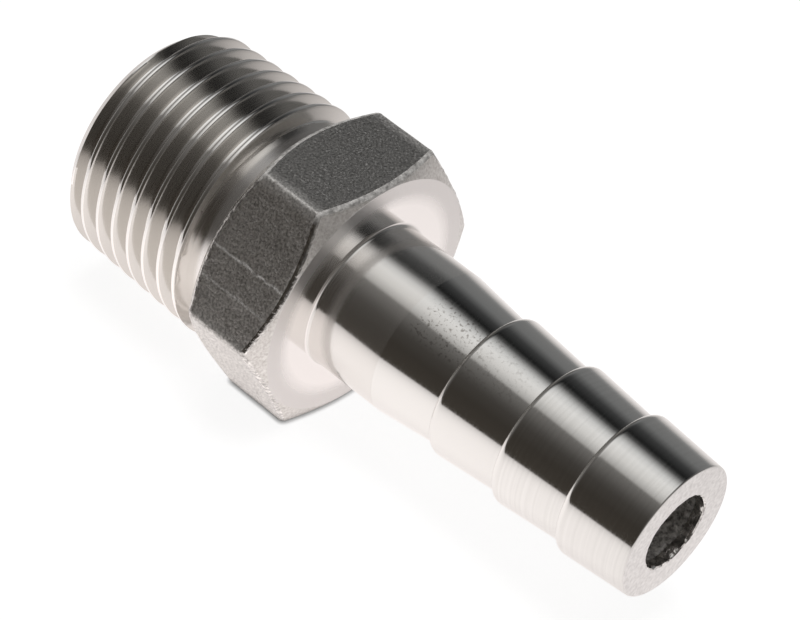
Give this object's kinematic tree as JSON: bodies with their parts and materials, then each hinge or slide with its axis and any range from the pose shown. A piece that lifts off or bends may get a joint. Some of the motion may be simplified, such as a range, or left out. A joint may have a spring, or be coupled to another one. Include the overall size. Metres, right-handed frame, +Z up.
{
  "type": "hose barb tail",
  "caption": "Hexagon hose tail with a male taper pipe thread, a spanner hexagon and a barbed spigot for a push-on hose, bored right through.",
  "frame": {"origin": "on the bore's axis, in the face of the hexagon that the hose is pushed up to", "axes": "+X along the bore towards the hose tail's tip, +Z up with the hexagon lying on one flat"},
  "size_m": [0.0564, 0.0254, 0.022],
  "materials": {
    "stainless": "turned bright on the thread and tail, grey as-cast on the hexagon's flats"
  },
  "bodies": {
    "root": {"hose_tail": "stainless"}
  },
  "joints": []
}
